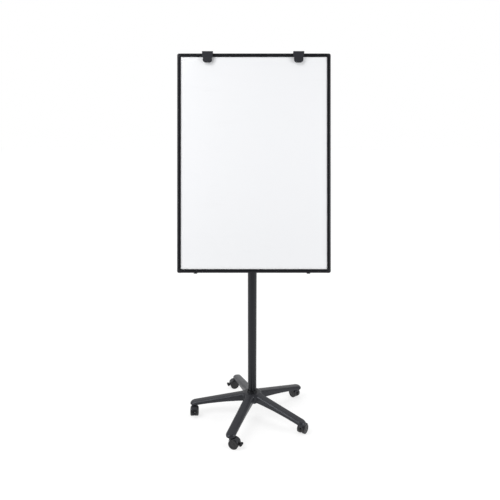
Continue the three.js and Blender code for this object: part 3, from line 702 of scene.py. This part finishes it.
def lever_mesh():
    near, far, floor, top = TRAIL + 29, TRAIL + 41.5, AXLE_Z - 6, AXLE_Z + 9
    side = [
        (LEVER_X - 3.5, LEVER_Z - 4), (LEVER_X + 2, LEVER_Z - 5.5), (near + 1, floor + 4),
        (near + 1, top - 3), (LEVER_X + 1, LEVER_Z + 3.5), (LEVER_X - 3.5, LEVER_Z + 2.5),
    ]
    tread = [
        (near, floor), (far - 5, floor), (far, floor + 5),
        (far, top - 3), (far - 3, top), (near, top - 2),
    ]

    def field(x, y, z):
        arm = smooth_max(polygon_field(x, z, side), np.abs(y) - 1.3, 0.5)
        pad = smooth_max(polygon_field(x, z, tread), np.abs(y) - TREAD_HALF, 2.4)
        grooves = np.hypot(np.mod(y + 1.6, 3.2) - 1.6, z - top - 0.1) - 0.7
        pad = smooth_max(pad, -np.maximum(grooves, np.abs(y) - 8.5), 0.3)
        from_pin = np.hypot(x - LEVER_X, z - LEVER_Z)
        pin = rod_field(from_pin, y, 1.8, -WEB_HALF + 0.4, WEB_HALF - 0.4, 0.3)
        return smooth_min(smooth_min(arm, pad, 1.5), pin, 0.6)

    return surface(field, (LEVER_X - 4, -TREAD_HALF, floor), (far, TREAD_HALF, LEVER_Z + 4), 0.55)


def wheel_mesh():
    """About Z, from the inner face at 0 to the outer face; the bore is closed by a hub cap."""
    r, w = WHEEL_R, WHEEL_WIDTH
    outline = rounded_outline(
        [(3.4, 0), (10, 0), (12, 1.2), (20, 1.2), (22, 0), (r, 0), (r, w), (17.8, w), (17.0, w - 1.3),
         (9.6, w - 1.3), (8.6, w - 0.2), (0, w), (0, w - 1.4), (3.4, w - 1.4)],
        [0.3, 0.6, 0.8, 0.8, 0.6, 1.6, 6.0, 0.5, 0.8, 0.8, 0.8, 0, 0, 0.3], 6)
    first = max(range(len(outline)), key=lambda i: (outline[i].x < 1e-6, -outline[i].y))
    return turned(outline[first:] + outline[:first], 72)


def castor_pieces():
    hoods = {True: hood_mesh(True), False: hood_mesh(False)}
    lever, wheel = lever_mesh(), wheel_mesh()
    stem = turned(rounded_outline(
        [(0, 46.3), (5.5, 46.3), (5.5, 55.9), (8.8, 55.9), (8.8, 56.4), (5.5, 56.4), (5.5, 70), (0, 70)],
        [0, 0.6, 0.1, 0.2, 0.2, 0.1, 0.8, 0], 3), 48)
    for letter in LETTERS:
        matrix, name = castor_matrix(letter), "castor_" + letter
        brake = f"{name}_lever" in NODES
        stand_for(name + "_stem", stem.copy(), matrix, "steel")
        stand_for(name + "_hood", hoods[brake].copy(), matrix, "castor_plastic")
        for side, sign in (("left", 1), ("right", -1)):
            tyre = carried(wheel.copy(), X, -sign * Z, sign * Y, (TRAIL, sign * WHEEL_INNER, AXLE_Z))
            stand_for(f"{name}_wheel_{side}", tyre, matrix, "wheel_plastic")
        if brake:
            stand_for(name + "_lever", lever.copy(), matrix, "lever_plastic")


castor_pieces()

# ----------------------------------------------------------------------------- column and mast
def ring_profile(inner, outer, bottom, top, edge):
    return rounded_outline([(inner, bottom), (outer, bottom), (outer, top), (inner, top)], edge, 4)


def span(node):
    """A node's lowest and highest z, in millimetres."""
    low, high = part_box(node)
    return low.z / MM, high.z / MM


TUBE_R, MAST_R = 22.25, 19
bottom, top = span("column_tube")
tube = turned(ring_profile(TUBE_R - 1.5, TUBE_R, bottom, top, 0.5), 128)
stand_for("column_tube", tube, WORLD, "black_paint")
bottom, top = span("column_collar")
collar = [(TUBE_BORE, bottom), (27.5, bottom), (26.6, bottom + 1.6), (23.5, top), (TUBE_BORE, top)]
collar = rounded_outline(collar, [0.3, 0.5, 0.8, 0.3, 0.1], 5)
stand_for("column_collar", turned(collar, 128), WORLD, "black_plastic")


def mast_tube():
    """The inner tube, with the key groove along its back."""
    bottom, top = span("inner_tube")
    mesh = turned(ring_profile(MAST_R - 1.9, MAST_R, bottom, top, 0.4), 144)
    for vertex in mesh.vertices:
        x, y, z = vertex.co
        if y > 0 and abs(x) < 4.4 and math.hypot(x, y) > MAST_R - 0.9:
            vertex.co = (x, y * (MAST_R - 1) / MAST_R, z)
    return mesh


stand_for("inner_tube", mast_tube(), WORLD, "plated_steel")
CLAMP_FOOT, CLAMP_TOP = span("height_clamp")
CLAMP_R, BOSS_REACH, TUBE_END = 29, 42, 1043.6
PLAY, STUD_BORE = 0.3, 4.3
KNOB_Z = JOINTS["clamp_knob_turn"]["pos_m"][2] / MM


def clamp_field(x, y, z):
    rho = np.hypot(x, y)
    half, off = (CLAMP_TOP - CLAMP_FOOT) / 2, np.abs(z - (CLAMP_FOOT + CLAMP_TOP) / 2)
    body = smooth_max(rho - CLAMP_R, off - half, 3.0)
    body = smooth_max(body, (rho - CLAMP_R + z - CLAMP_TOP + 5) * 0.707, 2.5)
    for ring in range(4):
        body = smooth_max(body, 1.2 - np.hypot(rho - 29.5, z - CLAMP_FOOT - 12 - 6 * ring), 0.6)
    boss = rod_field(np.hypot(x, z - KNOB_Z), y, 13, 10, BOSS_REACH, 1.5)
    body = smooth_min(body, boss, 6.0)
    body = smooth_max(body, -np.maximum(rho - TUBE_BORE, z - TUBE_END), 0.6)
    body = smooth_max(body, MAST_R + PLAY - rho, 0.6)
    return smooth_max(body, -np.maximum(np.hypot(x, z - KNOB_Z) - STUD_BORE, -y), 0.5)


clamp_mesh = surface(
    clamp_field, (-CLAMP_R, -CLAMP_R, CLAMP_FOOT), (CLAMP_R, BOSS_REACH, CLAMP_TOP), 1.15)
stand_for("height_clamp", clamp_mesh, WORLD, "black_plastic")


def knob_mesh(radius, bottom, disc, top, stud=0.0, foot=0.0, bore=0.0, step=0.8):
    """A six-lobed hand knob about Z, with a boss from bottom and a disc from disc to top.

    It has a stud of that radius from foot upwards, or a bore.
    """
    half = (top - disc) / 2

    def field(x, y, z):
        rho, around = np.hypot(x, y), np.arctan2(y, x)
        rim = radius * (0.9 + 0.1 * np.cos(6 * around))
        flat = np.abs(z - disc - half) - half + 0.06 * rho * (z > disc + half)
        body = smooth_max(rho - rim, flat, radius * 0.24)
        boss = rod_field(rho, z, radius * 0.45, bottom, disc + half, 0.6)
        body = smooth_min(body, boss, radius * 0.12)
        dish = np.hypot(rho, z - top - radius * 0.75) - radius * 0.83
        body = smooth_max(body, -dish, radius * 0.06)
        if stud:
            body = smooth_min(body, rod_field(rho, z, stud, foot, bottom + 2, 0.5), 0.5)
        return smooth_max(body, bore - rho, 0.5) if bore else body

    lowest = min(bottom, foot) if stud else bottom
    return surface(field, (-radius, -radius, lowest), (radius, radius, top), step)


BACKWARDS, KNOB_R = (X, -Z, Y), 23
low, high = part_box("clamp_knob")
knob = knob_mesh(KNOB_R, 42.5, 48, high.y / MM, stud=4, foot=low.y / MM)
stand_for("clamp_knob", carried(knob, *BACKWARDS), basis((0, 0, KNOB_Z * MM), X, Y, Z), "black_plastic")

PIVOT = JOINTS["board_tilt"]["pos_m"][2] / MM
MAST_TOP = span("inner_tube")[1]
HEAD_R, LUG_R = 23, 15


def head_field(x, y, z):
    rho = np.hypot(x, y)
    socket = smooth_max(rho - HEAD_R, np.abs(z - MAST_TOP + 5.5) - 22.5, 1.5)
    socket = smooth_max(socket, (rho - HEAD_R + z - MAST_TOP - 14) * 0.707, 2.0)
    round_top = np.where(z > PIVOT, np.hypot(y, z - PIVOT), np.abs(y)) - LUG_R
    tongue = smooth_max(smooth_max(round_top, np.abs(x) - 12, 1.5), MAST_TOP + 5 - z, 1.0)
    body = smooth_min(socket, tongue, 7.0)
    body = smooth_max(body, -np.maximum(rho - MAST_R - PLAY, z - MAST_TOP - PLAY), 0.6)
    return smooth_max(body, STUD_BORE - np.hypot(y, z - PIVOT), 0.6)


low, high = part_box("tilt_head")
head_mesh = surface(head_field, low / MM, high / MM, 1.0)
stand_for("tilt_head", head_mesh, WORLD, "black_paint")

SIDEWAYS = (-Z, Y, X)
low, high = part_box("tilt_bolt")
bolt = hex_bolt(7.5, 5.5, None, 4, (high.x - low.x) / MM)
stand_for("tilt_bolt", carried(bolt, *SIDEWAYS), basis((low.x, 0, PIVOT * MM), X, Y, Z), "steel")
low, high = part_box("tilt_knob")
knob = knob_mesh(KNOB_R, 0, 6, (high.x - low.x) / MM, bore=STUD_BORE)
stand_for("tilt_knob", carried(knob, *SIDEWAYS), basis((low.x, 0, PIVOT * MM), X, Y, Z), "black_plastic")

# -------------------------------------------------------------------------------------- board
for node, slot, edge in (("writing_sheet", "white_enamel", 0.15), ("back_sheet", "zinc_steel", 0.12)):
    stand_for(node, rounded_box(*board_box(node), edge), BOARD, slot)

FACE, DEPTH, LIP, SLOT, PROUD = 17, 13.2, 2, 6, 0.5
HALF_W, HALF_H = 350, 500


def rail_pieces():
    section = [
        (0, 2.7), (5.7, 0), (FACE, 0), (FACE, LIP), (SLOT, LIP),
        (SLOT, DEPTH - LIP), (FACE, DEPTH - LIP), (FACE, DEPTH), (0, DEPTH),
    ]
    outline = rounded_outline(section, [1.5, 4.0, 0.7, 0.4, 0.3, 0.3, 0.4, 0.6, 2.2], 6)
    for side, inward, reach in (
        ("bottom", Z, HALF_H), ("top", -Z, HALF_H), ("left", X, HALF_W), ("right", -X, HALF_W),
    ):
        along = inward.cross(Y)
        low, high = board_box("frame_rail_" + side)
        length = abs(Vector(high - low).dot(along))
        start = -inward * (reach - PROUD) - along * length / 2
        rail = carried(swept(outline, length), inward, Y, along, start)
        stand_for("frame_rail_" + side, rail, BOARD, "frame_black")


rail_pieces()
CORNER_R, CORNER_SIZE, CORNER_PROUD = 9, 18.5, 0.4


def corner_field(u, y, v):
    """u and v run inwards from the outer edges, y backwards from the rails' front face."""
    du, dv = CORNER_R - u, CORNER_R - v
    outside = np.hypot(np.maximum(du, 0), np.maximum(dv, 0))
    outline = outside + np.minimum(np.maximum(du, dv), 0) - CORNER_R
    body = smooth_max(outline, np.abs(y - DEPTH / 2) - DEPTH / 2 - CORNER_PROUD, 2.0)
    body = smooth_max(body, (outline + 7.4) * 0.437 - (y + CORNER_PROUD) * 0.9, 2.5)
    body = smooth_max(body, np.maximum(u, v) - CORNER_SIZE, 0.6)
    slot = SLOT + PROUD
    pocket = np.maximum(np.maximum(slot - u, slot - v), np.abs(y - DEPTH / 2) - DEPTH / 2 + LIP)
    body = smooth_max(body, -pocket, 0.4)
    screw = np.hypot(u - 12, v - 12)
    return smooth_max(body, -np.maximum(screw - 2.6, DEPTH + CORNER_PROUD - 0.9 - y), 0.4)


far_corner = (CORNER_SIZE, DEPTH + CORNER_PROUD, CORNER_SIZE)
corner_mesh = surface(corner_field, (0, -CORNER_PROUD, 0), far_corner, 0.6)
for name, right, upper in (("bl", 0, 0), ("br", 1, 0), ("tr", 1, 1), ("tl", 0, 1)):
    origin = ((2 * right - 1) * HALF_W, 0, (2 * upper - 1) * HALF_H)
    corner = carried(corner_mesh.copy(), X * (1 - 2 * right), Y, Z * (1 - 2 * upper), origin)
    stand_for("frame_corner_" + name, corner, BOARD, "corner_plastic")

CLIP_TOP, CLIP_FOOT, CLIP_HALF, TIP_HALF, CLIP_CORNER = 505.4, 454.4, 24.7, 21.2, 13
CLIP_FRONT, CLIP_BACK = -9, 20.5
CLIP_SHAPE = [
    (-CLIP_HALF, CLIP_TOP), (-CLIP_HALF, 482.4), (-TIP_HALF, 480.4),
    *arc((-8, CLIP_FOOT + CLIP_CORNER), CLIP_CORNER, 180, 270, 10),
    *arc((8, CLIP_FOOT + CLIP_CORNER), CLIP_CORNER, 270, 360, 10),
    (TIP_HALF, 480.4), (CLIP_HALF, 482.4), (CLIP_HALF, CLIP_TOP),
]
SCREW_Z = 490.5


def clip_field(x, y, z):
    plan = polygon_field(x, z, CLIP_SHAPE)
    leaf = smooth_max(plan, np.abs(y + 6.9) - 2.1, 1.8)
    leaf = smooth_max(leaf, np.where(z < 481.5, -8.3 - y, CLIP_FRONT - y), 1.0)
    point = (x, y, z)
    bridge = box_field(point, (-CLIP_HALF, CLIP_FRONT, 499.8), (CLIP_HALF, CLIP_BACK, CLIP_TOP), 1.6)
    leg = box_field(point, (-14, 16.5, 480.5), (14, CLIP_BACK, CLIP_TOP), 1.0)
    body = smooth_min(smooth_min(leaf, bridge, 1.8), leg, 1.8)
    return smooth_max(body, -np.maximum(np.hypot(x, z - SCREW_Z) - 3.3, 10 - y), 0.4)


clip_mesh = surface(
    clip_field, (-CLIP_HALF, CLIP_FRONT, CLIP_FOOT), (CLIP_HALF, CLIP_BACK, CLIP_TOP), 0.8)
screw_mesh = carried(knob_mesh(9, 21.5, 22.5, 29.5, stud=3, foot=13.5, step=0.5), *BACKWARDS)
for side in ("left", "right"):
    low, high = board_box("clip_" + side)
    middle = (low[0] + high[0]) / 2
    clip = carried(clip_mesh.copy(), X, Y, Z, (middle, 0, 0))
    stand_for("clip_" + side, clip, BOARD, "clip_plastic")
    screw = carried(screw_mesh.copy(), X, Y, Z, (middle, 0, SCREW_Z))
    stand_for("clip_screw_" + side, screw, BOARD, "black_plastic")


def pad_field(x, y, z):
    taper = np.abs(x) - 9 + 0.9 * np.maximum(-z - 1.2, 0)
    body = smooth_max(smooth_max(taper, np.abs(z + 2.2) - 1.9, 2.2), np.abs(y) - 4.5, 2.0)
    return smooth_min(body, rod_field(np.hypot(x, y), z, 2.5, -2, 4, 0.4), 0.5)


pad_mesh = surface(pad_field, (-9, -4.5, -4.3), (9, 4.5, 4), 0.5)
for side in ("left", "right"):
    low, high = board_box("edge_pad_" + side)
    pad = carried(pad_mesh.copy(), X, Y, Z, ((low[0] + high[0]) / 2, DEPTH / 2, PROUD - HALF_H))
    stand_for("edge_pad_" + side, pad, BOARD, "corner_plastic")

low, high = board_box("cross_rail")
WALL = 2
channel = [
    (low[1], low[2]), (high[1], low[2]), (high[1], high[2]), (low[1], high[2]), (low[1], high[2] - WALL),
    (high[1] - WALL, high[2] - WALL), (high[1] - WALL, low[2] + WALL), (low[1], low[2] + WALL),
]
channel = rounded_outline(channel, [0.6, 3.2, 3.2, 0.6, 0.6, 1.4, 1.4, 0.6], 6)
channel = carried(swept(channel, high[0] - low[0]), Y, Z, X, (low[0], 0, 0))
stand_for("cross_rail", channel, BOARD, "frame_black")

PIN = in_board(JOINTS["board_tilt"]["pos_m"])
plate_low, plate_high = board_box("tilt_bracket")
PLATE, PLATE_THICK = plate_low[1], 3
BRACKET_HOLES = [(x, z) for x in (-38, 38) for z in (-16, 16)]


def bracket_field(x, y, z):
    x, z = x - PIN.x, z - PIN.z
    plate = box_field((x, y, z), (-50, PLATE, -28), (50, PLATE + PLATE_THICK, 28), 1.2)
    slope = math.atan2(24 - LUG_R, PIN.y - PLATE - 1)
    edge = (np.abs(z) - 24) * math.cos(slope) + (y - PLATE - 1) * math.sin(slope)
    side = np.where(y < PIN.y, edge, np.hypot(y - PIN.y, z) - LUG_R)
    ear = smooth_max(smooth_max(side, np.abs(np.abs(x) - 14.3) - 2, 1.0), PLATE + 1 - y, 0.5)
    body = smooth_min(plate, ear, 5.0)
    for hole_x, hole_z in BRACKET_HOLES:
        body = smooth_max(body, 2.6 - np.hypot(x - hole_x, z - hole_z), 0.4)
    body = smooth_max(body, 12.3 - np.abs(x) - 1e3 * (y < PLATE + PLATE_THICK), 0.4)
    return smooth_max(body, STUD_BORE - np.hypot(y - PIN.y, z), 0.5)


bracket_mesh = surface(bracket_field, plate_low, plate_high, 1.1)
stand_for("tilt_bracket", bracket_mesh, BOARD, "black_paint")


def pan_screw(radius, height):
    """A pan head with a cross recess, from z = 0 up."""
    def field(x, y, z):
        rho, ball = np.hypot(x, y), height * 0.5 + radius ** 2 / (2 * height)
        head = smooth_max(np.hypot(rho, z - height + ball) - ball, rho - radius, 0.3)
        head = smooth_max(head, -z, 0.15)
        cross = np.minimum(np.abs(x), np.abs(y)) - radius * 0.13
        cross = np.maximum(np.maximum(cross, rho - radius * 0.55), height * 0.45 - z)
        return smooth_max(head, -cross, 0.15)
    return surface(field, (-radius, -radius, 0), (radius, radius, height), 0.3)


def screws(name, radius, height, y, places):
    """Screw heads on a face at y in the board's frame, in one piece."""
    head = carried(pan_screw(radius, height), *BACKWARDS)
    heads = [carried(head.copy(), X, Y, Z, (x, y, z)) for x, z in places]
    place(joined(*heads), name, BOARD, "board", "steel")


bracket_holes = [(PIN.x + x, PIN.z + z) for x, z in BRACKET_HOLES]
screws("bracket_screws", 4.6, 2.6, PLATE + PLATE_THICK + 0.05, bracket_holes)
rail_holes = [(x, PIN.z + z) for x in (-334, 334) for z in (-17, 17)]
screws("rail_screws", 3.6, 2.2, high[1] + 0.05, rail_holes)

# ------------------------------------------------------ CAD nodes that stay, with a real finish
KEPT = {"column_plug": "steel", "board_core": "core_board"}
KEPT.update({node: "black_plastic" for node in ("tube_bush", "mast_glide")})
KEPT.update({f"castor_{letter}_axle": "steel" for letter in LETTERS})
for node, slot in KEPT.items():
    NODES[node].data.materials.clear()
    NODES[node].data.materials.append(MATERIALS[slot])


# ------------------------------------------------------------------------- floor, light, camera
def paper(name, colour, glow):
    """Plain white paper that glows a little more further out, so that it meets the backdrop."""
    f = Finish(name, Specular_IOR_Level=0.1, Emission_Color=(1, 1, 1, 1))
    tone = f.mix(f.noise(2, 3), times(colour, 0.985), colour)
    f.relief(f.noise(300, 2), 5e-5)
    far = f.node("ShaderNodeVectorMath", {"operation": "LENGTH"}, _0=f.place).outputs["Value"]
    rise = f.node("ShaderNodeMapRange", Value=far)
    limits = {"From Min": 0.3, "From Max": 3.5, "To Min": glow[0], "To Max": glow[1]}
    for socket, value in limits.items():
        rise.inputs[socket].default_value = value
    f.tree.links.new(rise.outputs[0], f.shader.inputs["Emission Strength"])
    return f.done(tone, f.ramp(f.noise(40, 2), (0.3, 0.85), (0.7, 0.95)))


FLOOR_HALF = 40
square = [(x * FLOOR_HALF, y * FLOOR_HALF, 0) for x, y in ((-1, -1), (1, -1), (1, 1), (-1, 1))]
floor = bpy.data.objects.new("floor", mesh_of(square, [(0, 1, 2, 3)]))
floor.data.materials.append(paper("floor", (0.32, 0.32, 0.32), (0.72, 0.8)))
bpy.context.scene.collection.objects.link(floor)


FRONT_DOME, BACK_DOME = 0.17, 0.95


def studio():
    """The backdrop is plain white, and the object is lit by a dome that is dimmer in front."""
    world = bpy.data.worlds.new("studio")
    world.use_nodes = True
    bpy.context.scene.world = world
    tree = world.node_tree
    tree.nodes.clear()
    node, link = tree.nodes.new, tree.links.new
    place = node("ShaderNodeTexCoord").outputs["Generated"]
    parts = node("ShaderNodeSeparateXYZ")
    link(place, parts.inputs[0])
    ramp = node("ShaderNodeMapRange")
    ramp.interpolation_type = "SMOOTHSTEP"
    link(parts.outputs["Y"], ramp.inputs["Value"])
    limits = {"From Min": -0.6, "From Max": 0.5, "To Min": FRONT_DOME, "To Max": BACK_DOME}
    for socket, value in limits.items():
        ramp.inputs[socket].default_value = value
    dome, seen = node("ShaderNodeBackground"), node("ShaderNodeBackground")
    link(ramp.outputs[0], dome.inputs["Strength"])
    seen.inputs["Strength"].default_value = 1.0
    for background in (dome, seen):
        background.inputs["Color"].default_value = (1, 1, 1, 1)
    mixed, out = node("ShaderNodeMixShader"), node("ShaderNodeOutputWorld")
    link(node("ShaderNodeLightPath").outputs["Is Camera Ray"], mixed.inputs[0])
    link(dome.outputs[0], mixed.inputs[1])
    link(seen.outputs[0], mixed.inputs[2])
    link(mixed.outputs[0], out.inputs[0])


def softbox(name, position, target, size, power):
    light = bpy.data.lights.new(name, "AREA")
    light.shape, light.size, light.size_y, light.energy = "RECTANGLE", *size, power
    lamp = bpy.data.objects.new(name, light)
    lamp.location = position
    lamp.rotation_mode = "QUATERNION"
    lamp.rotation_quaternion = (Vector(target) - Vector(position)).to_track_quat("-Z", "Y")
    bpy.context.scene.collection.objects.link(lamp)


studio()
softbox("softbox_left", (-3.0, -1.5, 1.9), (0, 0, 1.0), (1.3, 1.6), 44)
softbox("softbox_right", (3.0, -1.5, 1.9), (0, 0, 1.0), (1.3, 1.6), 58)
softbox("softbox_top", (-2.8, -2.0, 5.0), (0, 0, 0.6), (2.4, 1.8), 105)


def camera():
    data = bpy.data.cameras.new("camera")
    data.lens, data.sensor_width = 36.45, 36
    data.clip_start, data.clip_end = 0.05, 100
    pitch = math.radians(13.15)
    seen_from = bpy.data.objects.new("camera", data)
    seen_from.location = (-0.0112, -2.420, 1.4592)
    seen_from.rotation_euler = (math.pi / 2 - pitch, 0, 0)
    bpy.context.scene.collection.objects.link(seen_from)
    bpy.context.scene.camera = seen_from


camera()
bpy.context.scene.view_settings.view_transform = "Standard"
